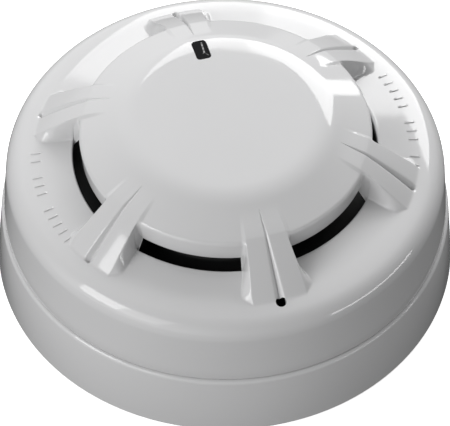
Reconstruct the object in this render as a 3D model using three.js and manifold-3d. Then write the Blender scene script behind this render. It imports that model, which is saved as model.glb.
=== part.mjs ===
// A ceiling heat detector: a twist-lock detector head on a mounting base, lying on its back.
// Millimetres, +Z up out of the dome, origin at the centre of the base's mounting face.
import * as THREE from "three";
import { mergeVertices } from "three/addons/utils/BufferGeometryUtils.js";
import Module from "manifold-3d";

const wasm = await Module();
wasm.setup();

// ---- driving dimensions ----

const BASE_RADIUS = 50; // outside of the base at the mounting face
const GAP = 0.3; // clearance between neighbouring pieces
const BITE = 0.5; // how far one shape runs into the next where they are joined
const OVERRUN = 1; // how far a cutting tool runs past what it cuts
const WALL = 2; // general moulding thickness
const ROUND = 40; // sides of the large round mouldings
const SMALL_ROUND = 16; // sides of screw heads and bosses
const HOLE_ROUND = 12; // sides of small holes and shanks
const deg = THREE.MathUtils.degToRad;

// Base
const FLOOR = 2.5;
const BASE_TOP = 15;
const BASE_TOP_RADIUS = 48.6;
const BASE_WALL = 2.3;
const BASE_EDGE = 0.9; // round of the base's top outer edge
const WALL_DRAFT = 0.8; // how much thicker the base's wall is at its foot
const CABLE_HOLE_RADIUS = 15;
const SLOT_RADIUS = 28.5; // mounting slots, from the axis to a slot's centre
const SLOT_LENGTH = 12;
const SLOT_WIDTH = 4.4;
const SLOT_CORNER = 2.19; // a hair under half the width, so that the two end rounds stay apart

// Cover: skirt, shoulder, gently coned collar, and the raised dome held over it by the ribs
const SKIRT_BOTTOM = 15.6; // clear of the base, for a fine shadow line round the seam
const SKIRT_RADIUS = 48;
const SKIRT_DRAFT = 5; // degrees
const LIP_RADIUS = 32.5; // outer edge of the air slot
const COLLAR_Z = 32.5; // at the lip
const COLLAR_TILT = 5; // degrees the collar falls outwards
const COLLAR_END = { r: 40, z: COLLAR_Z - (40 - LIP_RADIUS) * Math.tan(deg(COLLAR_TILT)) };
const CROWN_RADIUS = 20; // wide curve from the collar towards the shoulder
const CROWN_ANGLE = 75; // where it meets the shoulder's round
const SHOULDER_RADIUS = 4.85;
const DOME_TOP = 44.1;
const PLATEAU = { r: 17, z: 43.8 };
const DOME_CURVE_RADIUS = 23; // from the plateau down to the dome's edge
const DOME_SLOPE = 35; // degrees, at the dome's edge
const RIB_SLOPE = 36.5; // degrees, from the dome's edge down to the shoulder
const RIM = { r: 31, z: 38.7 };
const RIM_BOTTOM = { r: 30.7, z: 34.5 };
const DOME_EDGE = {
  r: PLATEAU.r + DOME_CURVE_RADIUS * Math.sin((DOME_SLOPE * Math.PI) / 180),
  z: PLATEAU.z - DOME_CURVE_RADIUS * (1 - Math.cos((DOME_SLOPE * Math.PI) / 180)),
};
const RIM_INNER_RADIUS = 28.9;

// Ribs
const RIB_COUNT = 6;
const FIRST_RIB = -75; // degrees
const RIB_HALF_ANGLE = 8;
const RIB_SIDE_DRAFT = 10;
const RIB_START = 29.2;
const RIB_END = 41.4;
const RIB_FOOT = 0.2; // the ribs' feet, above the underside of the collar
const RIB_HOLLOW = { start: 2, end: 2.5, down: 3 }; // how many wall thicknesses the hollow pulls in
const GROOVE_START = 26;
const GROOVE_END = 40.6;
const GROOVE_TIP = 0.05; // share of its full size that the groove starts with
const GROOVE_HALF_WIDTH = 0.85;
const GROOVE_DEPTH = 1.2;
const RELEASE_HOLE = { r: 41.4, radius: 1.1 }; // at the first rib's outer end

// Indicator
const LENS = { r: 19, azimuth: 105, length: 5, width: 2.9, corner: 0.8 };
const LENS_SINK = 0.15; // the lens's top, below the plateau
const LIGHT_PIPE = { length: 3.6, width: 2.2, corner: 0.6, standoff: 2.4 };

// Backplate and bayonet
const PLATE_BOTTOM = 15.7;
const PLATE_TOP = 17.7;
const PLATE_RADIUS = 45.5;
const PLATE_HOLE_RADIUS = 8;
const COLLAR_RING = { inner: 37, outer: 39, bottom: 5 };
const LUG = { outer: 45, top: 7.2, half: 8 };
const LEDGE = { inner: 41, bottom: 7.6, top: 9.8, half: 9 };
const STOP = { half: 1.1, lap: 0.2 }; // degrees: a wall at one end of each ledge
const LUG_AZIMUTHS = [-15, 105, 225];
const LOCK_CHANNEL = { inner: 39.4, outer: 43.4, depth: 0.8, before: 25, after: 5 }; // degrees each way

// Chamber cover, circuit board and gasket
const GASKET = { inner: 38.3, outer: 40.3, height: 1 };
const CHAMBER = { brim: 26, brimRadius: 40, skirtInner: 38.5, radius: 25.5, top: 38.5, wall: 1.5 };
const WINDOW_COUNT = 12;
const BOARD = { radius: 34, bottom: 19.7, top: 21.3 };
const BOSS = { r: 30, radius: 3.2, hole: 1.1, azimuths: [20, 140, 260] };
const CHAMBER_WINDOW = { width: 4, depth: 9, sill: 2, head: 1 };
const BOARD_SCREW = { headRadius: 2.1, headHeight: 1.6, recess: 0.6, recessSpan: 2.6 };

// Terminals
const TERMINAL_RADIUS = 29;
const TERMINAL_AZIMUTHS = [45, 135, 225, 315];
const POST = { side: 9, top: 7 };
const STRIP = 0.5; // contact metal thickness
const PLATE_PIECE = { length: 6.5, width: 8.6 };
const CLAMP = { side: 7.4, thickness: 1 };
const SCREW_CLEARANCE_RADIUS = 1.9;
const TERMINAL_SCREW = { headRadius: 3, headHeight: 2, shank: 1.5, recess: 0.9, recessSpan: 4.6 };
const SPRING = { start: 4.9, rise: 7, flat: 13.5, end: 16, top: 9, drop: 1.2, width: 5 };
const BLADE = { offset: 11, bottom: 9.3, thickness: 0.8, pad: 3, lead: 0.5, width: 4 };

// Locking tab
const TAB = {
  r: 41.4,
  half: 1.6,
  bottom: 9,
  thickness: 1.2,
  nib: 16.2, // top of the peg that reaches up to the head
  pegLead: 2, // degrees from the first rib back to the peg's edge
  root: -97,
  rootGap: 0.6,
  rootLength: 6.4,
  tip: -72.5,
};

// ---- materials ----

const plastic = (color, roughness) => new THREE.MeshStandardMaterial({ color, roughness, metalness: 0 });
const metal = (color, roughness) => new THREE.MeshStandardMaterial({ color, roughness, metalness: 1 });
const white = plastic(0xe6e6e4, 0.25);
const baseWhite = plastic(0xe2e2e0, 0.3);
const backWhite = plastic(0xdcdcd8, 0.45);
const black = plastic(0x0a0a0b, 0.6);
const lensDark = plastic(0x0b0b0d, 0.08);
const boardGreen = plastic(0x1f5a34, 0.4);
const chipBlack = plastic(0x17181a, 0.5);
const foam = plastic(0x2b2b2d, 0.95);
const sleeve = plastic(0x1c2a5a, 0.35);
const epoxy = plastic(0x3a1410, 0.3);
const glassTube = plastic(0xbfd6c8, 0.05);
const nickel = metal(0xc9c8c2, 0.3);
const brass = metal(0xc8a552, 0.3);
const tin = metal(0xb9bcc0, 0.35);

// ---- shape helpers ----

// A closed geometry as a solid that can be cut and joined.
function solid(geometry) {
  const bare = (geometry.index ? geometry.toNonIndexed() : geometry.clone());
  for (const name of Object.keys(bare.attributes)) if (name !== "position") bare.deleteAttribute(name);
  const merged = mergeVertices(bare, 1e-4);
  const mesh = new wasm.Mesh({
    numProp: 3,
    vertProperties: merged.attributes.position.array,
    triVerts: new Uint32Array(merged.index.array),
  });
  return new wasm.Manifold(mesh);
}

function geometryOf(shape) {
  const mesh = shape.getMesh();
  return new THREE.BufferGeometry()
    .setAttribute("position", new THREE.BufferAttribute(mesh.vertProperties, 3))
    .setIndex(new THREE.BufferAttribute(mesh.triVerts, 1));
}

const join = (first, ...rest) => geometryOf(rest.reduce((sum, g) => sum.add(solid(g)), solid(first)));
const cut = (first, ...tools) => geometryOf(tools.reduce((left, g) => left.subtract(solid(g)), solid(first)));

// Points on an arc in the profile plane; angles in degrees from +r towards +Z.
function arc(centre, radius, from, to, steps) {
  return Array.from({ length: steps + 1 }, (_, i) => {
    const angle = deg(from + ((to - from) * i) / steps);
    return new THREE.Vector2(centre.r + radius * Math.cos(angle), centre.z + radius * Math.sin(angle));
  });
}

const at = (r, z) => new THREE.Vector2(r, z);

// A profile of (r, z) points, anticlockwise, turned about the Z axis.
function turned(profile, sides = ROUND) {
  return new THREE.LatheGeometry([...profile, profile[0]], sides).rotateX(Math.PI / 2);
}

function tube(inner, outer, bottom, top, sides = ROUND) {
  return turned([at(inner, bottom), at(outer, bottom), at(outer, top), at(inner, top)], sides);
}

function cylinder(radius, bottom, top, x = 0, y = 0, sides = SMALL_ROUND) {
  const made = new THREE.CylinderGeometry(radius, radius, top - bottom, sides).rotateX(Math.PI / 2);
  return made.translate(x, y, (bottom + top) / 2);
}

function box(sizeX, sizeY, bottom, top, x = 0, y = 0) {
  return new THREE.BoxGeometry(sizeX, sizeY, top - bottom).translate(x, y, (bottom + top) / 2);
}

function extruded(shape, bottom, top, curveSegments = 4) {
  return new THREE.ExtrudeGeometry(shape, { depth: top - bottom, bevelEnabled: false, curveSegments })
    .translate(0, 0, bottom);
}

// A piece of a ring about the Z axis, between two azimuths in degrees.
function sector(inner, outer, bottom, top, from, to) {
  const shape = new THREE.Shape();
  shape.absarc(0, 0, outer, deg(from), deg(to), false);
  shape.absarc(0, 0, inner, deg(to), deg(from), true);
  return extruded(shape, bottom, top, Math.max(2, Math.ceil((to - from) / 6)));
}

function roundedBar(length, width, corner, bottom, top) {
  const [x, y] = [length / 2, width / 2];
  const shape = new THREE.Shape();
  shape.absarc(x - corner, y - corner, corner, 0, Math.PI / 2);
  shape.absarc(corner - x, y - corner, corner, Math.PI / 2, Math.PI);
  shape.absarc(corner - x, corner - y, corner, Math.PI, 1.5 * Math.PI);
  shape.absarc(x - corner, corner - y, corner, 1.5 * Math.PI, 2 * Math.PI);
  return extruded(shape, bottom, top);
}

// A side view of (y, z) points made into a strip as wide as width along X.
function strip(outline, width) {
  const shape = new THREE.Shape(outline.map(([y, z]) => new THREE.Vector2(y, z)));
  return new THREE.ExtrudeGeometry(shape, { depth: width, bevelEnabled: false })
    .translate(0, 0, -width / 2)
    .rotateY(Math.PI / 2)
    .rotateX(Math.PI / 2);
}

// A closed skin over rings of points, with a fan of triangles over each end.
function loft(rings) {
  const count = rings[0].length;
  const last = (rings.length - 1) * count;
  const index = [];
  for (let i = 0; i + 1 < rings.length; i++) {
    for (let k = 0; k < count; k++) {
      const next = (k + 1) % count;
      const [a, b] = [i * count + k, i * count + next];
      index.push(a, b, b + count, a, b + count, a + count);
    }
  }
  for (let k = 1; k + 1 < count; k++) {
    index.push(0, k + 1, k, last, last + k, last + k + 1);
  }
  return new THREE.BufferGeometry().setFromPoints(rings.flat()).setIndex(index);
}

const polar = (r, azimuth, z) =>
  new THREE.Vector3(r * Math.cos(deg(azimuth)), r * Math.sin(deg(azimuth)), z);
const spun = (geometry, azimuth) => geometry.clone().rotateZ(deg(azimuth));

// ---- cover ----

// Height of the top surface: the dome's curve, then the slope that the ribs carry down to the shoulder.
function surfaceZ(r) {
  if (r > DOME_EDGE.r) return DOME_EDGE.z - (r - DOME_EDGE.r) * Math.tan(deg(RIB_SLOPE));
  return PLATEAU.z - DOME_CURVE_RADIUS + Math.sqrt(DOME_CURVE_RADIUS ** 2 - (r - PLATEAU.r) ** 2);
}

// The centre of a round that passes through a point where its slope's normal has the given angle.
function centreFrom(point, radius, angle) {
  return { r: point.r - radius * Math.cos(deg(angle)), z: point.z - radius * Math.sin(deg(angle)) };
}

function coverShell() {
  const crown = centreFrom(COLLAR_END, CROWN_RADIUS, 90 - COLLAR_TILT);
  const [crownEnd] = arc(crown, CROWN_RADIUS, CROWN_ANGLE, 90 - COLLAR_TILT, 1);
  const shoulder = centreFrom({ r: crownEnd.x, z: crownEnd.y }, SHOULDER_RADIUS, CROWN_ANGLE);
  const outside = [
    at(SKIRT_RADIUS, SKIRT_BOTTOM),
    ...arc(shoulder, SHOULDER_RADIUS, SKIRT_DRAFT, CROWN_ANGLE, 5),
    ...arc(crown, CROWN_RADIUS, CROWN_ANGLE, 90 - COLLAR_TILT, 2).slice(1),
    at(LIP_RADIUS, COLLAR_Z),
  ];
  const inside = [
    at(LIP_RADIUS, COLLAR_Z - WALL),
    at(COLLAR_END.r, COLLAR_END.z - WALL),
    ...arc(shoulder, SHOULDER_RADIUS - WALL, CROWN_ANGLE, SKIRT_DRAFT, 3),
    at(SKIRT_RADIUS - WALL, SKIRT_BOTTOM),
  ];
  return turned([...outside, ...inside]);
}

// The dome's curve from a radius in to the flat plateau, sunk by a depth.
function domeCurve(fromRadius, depth, steps) {
  const radius = DOME_CURVE_RADIUS - depth;
  const start = THREE.MathUtils.radToDeg(Math.acos((fromRadius - PLATEAU.r) / radius));
  return arc({ r: PLATEAU.r, z: PLATEAU.z - DOME_CURVE_RADIUS }, radius, start, 90, steps);
}

function dome() {
  return turned([
    at(RIM_INNER_RADIUS, RIM_BOTTOM.z),
    at(RIM_BOTTOM.r, RIM_BOTTOM.z),
    at(RIM.r, RIM.z),
    ...domeCurve(DOME_EDGE.r, 0, 5),
    at(0, DOME_TOP),
    at(0, DOME_TOP - WALL),
    ...domeCurve(RIM_INNER_RADIUS, WALL, 3).reverse(),
  ]);
}

// One rib about azimuth 0: a fan-shaped bridge with drafted sides, smaller all round by a margin.
function rib(margin) {
  const bottom = COLLAR_Z - WALL + RIB_FOOT - RIB_HOLLOW.down * margin;
  const start = RIB_START + RIB_HOLLOW.start * margin;
  const end = RIB_END - RIB_HOLLOW.end * margin;
  const rings = [0, 1 / 3, 2 / 3, 1].map((share) => {
    const r = start + share * (end - start);
    const top = Math.max(surfaceZ(r) - margin, bottom + RIB_FOOT);
    const half = RIB_HALF_ANGLE - THREE.MathUtils.radToDeg(margin / r);
    const flare = THREE.MathUtils.radToDeg(((top - bottom) * Math.tan(deg(RIB_SIDE_DRAFT))) / r);
    return [
      polar(r, -half - flare, bottom),
      polar(r, half + flare, bottom),
      polar(r, half, top),
      polar(r, 0, top),
      polar(r, -half, top),
    ];
  });
  return loft(rings);
}

// The tapering V between a rib's two lobes, about azimuth 0.
function groove() {
  const rings = [GROOVE_START, 30, 35, GROOVE_END].map((r) => {
    const share = (r - GROOVE_START) / (GROOVE_END - GROOVE_START) + GROOVE_TIP;
    const half = 2 * GROOVE_HALF_WIDTH * share;
    return [
      new THREE.Vector3(r, 0, surfaceZ(r) - GROOVE_DEPTH * share),
      new THREE.Vector3(r, half, surfaceZ(r) + GROOVE_DEPTH * share),
      new THREE.Vector3(r, -half, surfaceZ(r) + GROOVE_DEPTH * share),
    ];
  });
  return loft(rings);
}

const ribAzimuths = Array.from({ length: RIB_COUNT }, (_, i) => FIRST_RIB + (i * 360) / RIB_COUNT);

function cover() {
  const ribs = ribAzimuths.map((azimuth) => spun(rib(0), azimuth));
  const hollows = ribAzimuths.map((azimuth) => spun(rib(WALL), azimuth));
  const grooves = ribAzimuths.map((azimuth) => spun(groove(), azimuth));
  const window = roundedBar(
    LENS.length + 2 * GAP, LENS.width + 2 * GAP, LENS.corner + GAP, RIM_BOTTOM.z, DOME_TOP + OVERRUN,
  );
  const hole = cylinder(RELEASE_HOLE.radius, PLATE_TOP, COLLAR_Z + OVERRUN, RELEASE_HOLE.r, 0, HOLE_ROUND);
  return cut(
    join(coverShell(), dome(), ...ribs),
    ...hollows,
    ...grooves,
    spun(window.translate(LENS.r, 0, 0), LENS.azimuth),
    spun(hole, FIRST_RIB),
  );
}

// ---- head internals ----

// The window in the dome and the light pipe that reaches down to the lamp on the board.
function indicatorLens() {
  const window = roundedBar(LENS.length, LENS.width, LENS.corner, PLATEAU.z - WALL, PLATEAU.z - LENS_SINK);
  const { length, width, corner, standoff } = LIGHT_PIPE;
  const pipe = roundedBar(length, width, corner, BOARD.top + standoff, PLATEAU.z - WALL + BITE);
  return spun(join(window, pipe).translate(LENS.r, 0, 0), LENS.azimuth);
}

// The black moulding over the board: a brim under the air slot and a windowed cage round the sensor.
function chamberCover() {
  const { brim, brimRadius, skirtInner, radius, top, wall } = CHAMBER;
  const skirtBottom = PLATE_TOP + GASKET.height + 2 * GAP;
  const shell = turned([
    at(skirtInner, skirtBottom),
    at(brimRadius, skirtBottom),
    at(brimRadius, brim + wall),
    at(radius, brim + wall),
    at(radius, top),
    at(0, top),
    at(0, top - wall),
    at(radius - wall, top - wall),
    at(radius - wall, brim),
    at(skirtInner, brim),
  ]);
  const { width, depth, sill, head } = CHAMBER_WINDOW;
  const windowTool = box(width, depth, brim + wall + sill, top - wall - head, radius - wall / 2, 0);
  const windows = Array.from({ length: WINDOW_COUNT }, (_, i) =>
    spun(windowTool, ((i + 0.5) * 360) / WINDOW_COUNT),
  );
  const pipeHole = roundedBar(
    LIGHT_PIPE.length + 2 * BITE, LIGHT_PIPE.width + 2 * BITE, LENS.corner, top - 2 * wall, top + OVERRUN,
  );
  return cut(shell, ...windows, spun(pipeHole.translate(LENS.r, 0, 0), LENS.azimuth));
}

function backplate() {
  const lugs = LUG_AZIMUTHS.map((a) =>
    sector(COLLAR_RING.outer - BITE, LUG.outer, COLLAR_RING.bottom, LUG.top, a - LUG.half, a + LUG.half),
  );
  const bosses = BOSS.azimuths.map((a) =>
    spun(cylinder(BOSS.radius, PLATE_TOP - BITE, BOARD.bottom - GAP, BOSS.r, 0), a),
  );
  const screwHoles = BOSS.azimuths.map((a) =>
    spun(cylinder(BOSS.hole, PLATE_BOTTOM - OVERRUN, BOARD.bottom + OVERRUN, BOSS.r, 0, HOLE_ROUND), a),
  );
  const bladeSlots = TERMINAL_AZIMUTHS.map((a) => {
    const [length, width] = [BLADE.width + 2 * GAP, BLADE.thickness + 2 * GAP];
    const slot = box(length, width, PLATE_BOTTOM - OVERRUN, PLATE_TOP + OVERRUN);
    return spun(slot.translate(TERMINAL_RADIUS, BLADE.offset, 0), a);
  });
  const [under, over] = [PLATE_BOTTOM - OVERRUN, PLATE_TOP + OVERRUN];
  const pinHole = spun(cylinder(RELEASE_HOLE.radius, under, over, RELEASE_HOLE.r, 0, HOLE_ROUND), FIRST_RIB);
  const { inner, outer, depth, before, after } = LOCK_CHANNEL;
  const channel = sector(inner, outer, under, PLATE_BOTTOM + depth, FIRST_RIB - before, FIRST_RIB + after);
  const plate = tube(PLATE_HOLE_RADIUS, PLATE_RADIUS, PLATE_BOTTOM, PLATE_TOP);
  const ring = tube(COLLAR_RING.inner, COLLAR_RING.outer, COLLAR_RING.bottom, PLATE_BOTTOM + BITE);
  return cut(join(plate, ring, ...lugs, ...bosses), ...screwHoles, ...bladeSlots, pinHole, channel);
}

function circuitBoard() {
  const holes = BOSS.azimuths.map((a) =>
    spun(cylinder(BOSS.hole + GAP, BOARD.bottom - OVERRUN, BOARD.top + OVERRUN, BOSS.r, 0, HOLE_ROUND), a),
  );
  return cut(cylinder(BOARD.radius, BOARD.bottom, BOARD.top, 0, 0, ROUND), ...holes);
}

function boardScrew() {
  const { headRadius, headHeight, recess, recessSpan } = BOARD_SCREW;
  const seat = BOARD.top + GAP;
  const head = cylinder(headRadius, seat, seat + headHeight);
  const shank = cylinder(BOSS.hole - GAP, PLATE_BOTTOM + GAP, seat + BITE, 0, 0, HOLE_ROUND);
  const top = seat + headHeight;
  return cut(join(head, shank), ...cross(recessSpan, recess, top));
}

// The two bars of a cross recess, sunk as deep as they are wide.
function cross(span, width, top) {
  return [box(span, width, top - width, top + OVERRUN), box(width, span, top - width, top + OVERRUN)];
}

// A metal strip from the board down through the backplate, with a foot that rubs on the base's spring.
function contactBlade() {
  const { bottom, thickness, pad, lead, width } = BLADE;
  const half = thickness / 2;
  const edge = pad / 2;
  const top = BOARD.bottom - GAP;
  const foot = [[-edge, bottom + lead], [lead - edge, bottom], [edge - lead, bottom], [edge, bottom + lead]];
  const stem = [[half, bottom + thickness], [half, top], [-half, top], [-half, bottom + thickness]];
  const outline = [...foot, [edge, bottom + thickness], ...stem, [-edge, bottom + thickness]];
  return strip(outline, width).translate(TERMINAL_RADIUS, BLADE.offset, 0);
}

// ---- base ----

function terminalPost() {
  return box(POST.side, POST.side, FLOOR - BITE, POST.top, TERMINAL_RADIUS, 0);
}

function baseHousing() {
  const inner = BASE_TOP_RADIUS - BASE_WALL;
  const shell = turned([
    at(CABLE_HOLE_RADIUS, 0),
    at(BASE_RADIUS, 0),
    ...arc({ r: BASE_TOP_RADIUS - BASE_EDGE, z: BASE_TOP - BASE_EDGE }, BASE_EDGE, 0, 90, 2),
    at(inner, BASE_TOP),
    at(inner - WALL_DRAFT, FLOOR),
    at(CABLE_HOLE_RADIUS, FLOOR),
  ]);
  const ledges = LUG_AZIMUTHS.map((a) =>
    sector(LEDGE.inner, inner + BITE, LEDGE.bottom, LEDGE.top, a - LEDGE.half, a + LEDGE.half),
  );
  const stops = LUG_AZIMUTHS.map((a) => {
    const middle = a - LEDGE.half - STOP.half + STOP.lap;
    return sector(LEDGE.inner, inner + BITE, FLOOR - BITE, LEDGE.top, middle - STOP.half, middle + STOP.half);
  });
  const rootTop = TAB.bottom + 2 * TAB.thickness;
  const rootEnd = TAB.root - TAB.rootGap;
  const rootStart = rootEnd - TAB.rootLength;
  const tabRoot = sector(TAB.r - TAB.half, inner + BITE, FLOOR - BITE, rootTop, rootStart, rootEnd);
  const slot = roundedBar(SLOT_LENGTH, SLOT_WIDTH, SLOT_CORNER, -OVERRUN, FLOOR + OVERRUN);
  const slots = [0, 90, 180, 270].map((a) => spun(slot.clone().translate(SLOT_RADIUS, 0, 0), a));
  const screwRadius = TERMINAL_SCREW.shank + GAP;
  const screwHole = cylinder(screwRadius, FLOOR + BITE, POST.top + OVERRUN, TERMINAL_RADIUS, 0, HOLE_ROUND);
  const screwHoles = TERMINAL_AZIMUTHS.map((a) => spun(screwHole, a));
  const posts = TERMINAL_AZIMUTHS.map((a) => spun(terminalPost(), a));
  return cut(join(shell, ...ledges, ...stops, tabRoot, ...posts), ...slots, ...screwHoles);
}

function lockTab() {
  const { r, half, bottom, thickness, root, tip, nib, pegLead } = TAB;
  const arm = sector(r - half, r + half, bottom, bottom + thickness, root, tip);
  const peg = sector(r - half, r + half, bottom, nib, FIRST_RIB - pegLead, tip);
  return join(arm, peg);
}

// Terminal pieces stand about azimuth 0, at the terminal's radius on the X axis.
function screwClearance(bottom, top) {
  return cylinder(SCREW_CLEARANCE_RADIUS, bottom - OVERRUN, top + OVERRUN, TERMINAL_RADIUS, 0, HOLE_ROUND);
}

function terminalPlate() {
  const bottom = POST.top + GAP;
  const plate = box(PLATE_PIECE.length, PLATE_PIECE.width, bottom, bottom + STRIP, TERMINAL_RADIUS, 0);
  return cut(plate, screwClearance(bottom, bottom + STRIP));
}

function wireClamp() {
  const bottom = POST.top + STRIP + 2 * GAP;
  const top = bottom + CLAMP.thickness;
  return cut(box(CLAMP.side, CLAMP.side, bottom, top, TERMINAL_RADIUS, 0), screwClearance(bottom, top));
}

function terminalScrew() {
  const { headRadius, headHeight, shank, recess, recessSpan } = TERMINAL_SCREW;
  const seat = POST.top + STRIP + CLAMP.thickness + 3 * GAP;
  const head = cylinder(headRadius, seat, seat + headHeight);
  const stem = cylinder(shank, FLOOR + OVERRUN, seat + BITE, 0, 0, HOLE_ROUND);
  const recesses = cross(recessSpan, recess, seat + headHeight);
  return cut(join(head, stem), ...recesses).translate(TERMINAL_RADIUS, 0, 0);
}

function contactSpring() {
  const { start, rise, flat, end, top, drop, width } = SPRING;
  const low = POST.top + GAP;
  const upper = [[start, low + STRIP], [rise, top], [flat, top], [end, top - drop]];
  const lower = upper.map(([y, z]) => [y, z - STRIP]).reverse();
  return strip([...lower, ...upper], width).translate(TERMINAL_RADIUS, 0, 0);
}

// ---- assembly ----

const detector = new THREE.Group();

function add(name, geometry, material, parent = detector) {
  const mesh = new THREE.Mesh(geometry, material);
  mesh.name = name;
  parent.add(mesh);
  return mesh;
}

add("cover", cover(), white);
add("indicator_lens", indicatorLens(), lensDark);
add("chamber_cover", chamberCover(), black);
add("gasket", tube(GASKET.inner, GASKET.outer, PLATE_TOP + GAP, PLATE_TOP + GAP + GASKET.height), foam);
add("backplate", backplate(), backWhite);
add("circuit_board", circuitBoard(), boardGreen);

// Parts on the board, each standing a clearance above it.
const onBoard = BOARD.top + GAP;
const lampPlace = polar(LENS.r, LENS.azimuth, 0);
const blocks = [
  { name: "indicator_lamp", size: [3.2, 2.8, 1.6], x: lampPlace.x, y: lampPlace.y, material: glassTube },
  { name: "microcontroller", size: [9, 9, 1.6], x: -12, y: -9, material: chipBlack },
  { name: "bridge_rectifier", size: [6, 5, 2.4], x: 14, y: 12, material: chipBlack },
  { name: "voltage_regulator", size: [4.6, 3, 1.6], x: 20, y: -4, material: chipBlack },
];
for (const { name, size, x, y, material } of blocks) {
  add(name, box(size[0], size[1], onBoard, onBoard + size[2], x, y), material);
}
const cans = [
  { name: "smoothing_capacitor", radius: 4, height: 9, x: 9, y: -13, material: sleeve },
  { name: "surge_suppressor", radius: 3.2, height: 2.4, x: 5, y: 24, material: epoxy },
];
for (const { name, radius, height, x, y, material } of cans) {
  add(name, cylinder(radius, onBoard, onBoard + height, x, y, 2 * HOLE_ROUND), material);
}

const LEAD = { radius: 0.3, sides: 8 };
const lead = (top, x, y) => cylinder(LEAD.radius, onBoard, top, x, y, LEAD.sides);

const REED = { radius: 1.2, length: 14, x: -20, y: 6, axisHeight: 1.4, leadOffset: 7.8 };
const reedAxis = onBoard + REED.axisHeight;
const reedTube = new THREE.CylinderGeometry(REED.radius, REED.radius, REED.length, SMALL_ROUND);
add("reed_switch", reedTube.translate(REED.x, REED.y, reedAxis), glassTube);
add("reed_lead_left", lead(reedAxis, REED.x, REED.y - REED.leadOffset), tin);
add("reed_lead_right", lead(reedAxis, REED.x, REED.y + REED.leadOffset), tin);

const BEAD = { radius: 1.6, z: 34, spread: 0.9, sides: 12, rings: 8 };
const bead = new THREE.SphereGeometry(BEAD.radius, BEAD.sides, BEAD.rings).rotateX(Math.PI / 2);
add("thermistor_bead", bead.translate(0, 0, BEAD.z), epoxy);
const leadTop = BEAD.z - Math.sqrt(BEAD.radius ** 2 - BEAD.spread ** 2) - 2 * GAP;
add("thermistor_lead_left", lead(leadTop, -BEAD.spread, 0), tin);
add("thermistor_lead_right", lead(leadTop, BEAD.spread, 0), tin);

BOSS.azimuths.forEach((azimuth, i) => {
  add(`board_screw_${i + 1}`, spun(boardScrew().translate(BOSS.r, 0, 0), azimuth), nickel);
});

add("base_housing", baseHousing(), baseWhite);
add("lock_tab", lockTab(), baseWhite);
TERMINAL_AZIMUTHS.forEach((azimuth, i) => {
  const terminal = new THREE.Group();
  terminal.rotation.z = deg(azimuth);
  detector.add(terminal);
  add(`contact_blade_${i + 1}`, contactBlade(), nickel, terminal);
  add(`terminal_plate_${i + 1}`, terminalPlate(), brass, terminal);
  add(`contact_spring_${i + 1}`, contactSpring(), brass, terminal);
  add(`wire_clamp_${i + 1}`, wireClamp(), nickel, terminal);
  add(`terminal_screw_${i + 1}`, terminalScrew(), nickel, terminal);
});

export default detector;
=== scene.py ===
import math

import bmesh
import bpy
import numpy as np
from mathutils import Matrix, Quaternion, Vector


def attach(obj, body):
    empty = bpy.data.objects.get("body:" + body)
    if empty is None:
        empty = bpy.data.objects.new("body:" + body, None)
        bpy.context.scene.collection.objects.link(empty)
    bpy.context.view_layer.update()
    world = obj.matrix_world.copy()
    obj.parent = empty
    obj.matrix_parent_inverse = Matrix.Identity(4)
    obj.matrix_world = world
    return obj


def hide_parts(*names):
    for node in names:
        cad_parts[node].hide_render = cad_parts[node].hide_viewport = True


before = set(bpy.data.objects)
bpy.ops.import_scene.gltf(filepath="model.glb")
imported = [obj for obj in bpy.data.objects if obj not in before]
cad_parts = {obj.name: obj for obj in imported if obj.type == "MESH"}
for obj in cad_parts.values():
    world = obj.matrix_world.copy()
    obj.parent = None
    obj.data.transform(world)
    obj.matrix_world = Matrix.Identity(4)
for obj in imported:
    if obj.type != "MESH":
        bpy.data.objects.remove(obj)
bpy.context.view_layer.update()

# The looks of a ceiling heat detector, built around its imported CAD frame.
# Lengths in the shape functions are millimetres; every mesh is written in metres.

MM = 0.001

# ---- driving dimensions, in millimetres and degrees; the main ones follow the CAD ----

DOME_TOP = 44.1
PLATEAU_RADIUS, PLATEAU_Z = 18.8, 43.8  # the bend is tighter than the CAD's, up to 0.43 mm below it
DOME_CURVE = 12.5
DOME_SLOPE = 25
DOME_END = 30.4
DOME_FIRST_RING = 1.2
RIM_ROUND = 1.0
RIM_BOTTOM = (30.7, 34.6)
LIP_RADIUS = 32.5
LIP_DEPTH = 1.5
SLOT_EDGE_ROUND = 0.35  # on both edges of the air slot
COLLAR_Z = 32.5
COLLAR_TILT = 5
COLLAR_START, COLLAR_END = 33.3, 40
CROWN_ROUND, CROWN_TILT = 20, 15
SHOULDER_ROUND = 4.85
SKIRT_DRAFT = 5
SKIRT_BOTTOM_RADIUS, SKIRT_BOTTOM = 48, 15.6
SKIRT_EDGE = 0.25
COVER_WALL = 1.4

RIB_COUNT, FIRST_RIB = 6, -75
RIB_HALF_ANGLE = 8
RIB_FOOT_ANGLE = 10
FOOT_SPREAD, SPREAD_START, SPREAD_LENGTH = 1.4, 32.5, 6  # degrees wider over the collar
FOOT_CLOSING, CLOSING_START, CLOSING_LENGTH = 3.4, 39, 2.4  # degrees narrower at the outer end
SIDE_FILLET, SIDE_ROUND = 0.26, 0.16  # shares of a rib's side
RIB_LIFT = 0.35
RIB_START, RIB_END = 24.5, 41.1
RIB_END_Z = 31.75
RIB_BULGE = 0.3
RIB_BLEND, RIB_SINK = 0.12, 0.01  # where a rib's top runs out on the shoulder
RIB_TOE = 1.5
GROOVE_START, GROOVE_END, GROOVE_FADE = 25, 41, 0.5
GROOVE_DEPTH = 1.25
GROOVE_HALF_WIDTH = 0.95
GROOVE_LIP = 0.16
RELEASE_HOLE_RADIUS, RELEASE_HOLE_SIZE = 41.4, 1.1
COLUMN_RUNS = (  # degrees from a rib's middle: from, to, step
    (0, 1.9, 0.12),  # the groove
    (2.2, 7.2, 0.75),
    (7.5, 11.8, 0.14),  # the side wall
    (12.2, 30, 1.9),
)
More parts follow.
